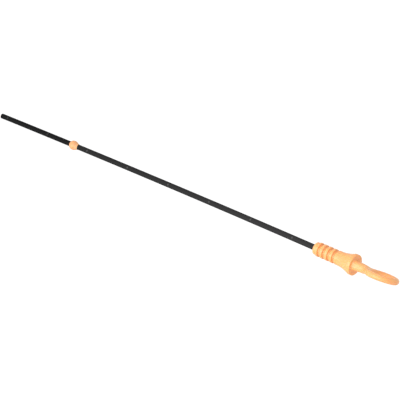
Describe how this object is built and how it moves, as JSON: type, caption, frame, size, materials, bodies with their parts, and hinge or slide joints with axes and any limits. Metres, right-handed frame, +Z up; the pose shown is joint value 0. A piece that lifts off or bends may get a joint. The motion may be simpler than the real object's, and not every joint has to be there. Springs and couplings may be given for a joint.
{
  "type": "engine oil dipstick",
  "caption": "Long black plastic oil dipstick with a guide bead, a ribbed orange sealing plug with a flared collar, and a round finger ring.",
  "frame": {"origin": "middle of the lying part's box, on the surface that it lies on", "axes": "+X along the stick from the tip towards the finger ring, +Y away from the picture's camera, +Z up"},
  "size_m": [0.5088, 0.0322, 0.023],
  "materials": {
    "rod_black": "matte moulded",
    "handle_orange": "satin moulded"
  },
  "bodies": {
    "root": {"dip_rod": "rod_black", "guide_bead": "handle_orange", "handle": "handle_orange"}
  },
  "joints": []
}
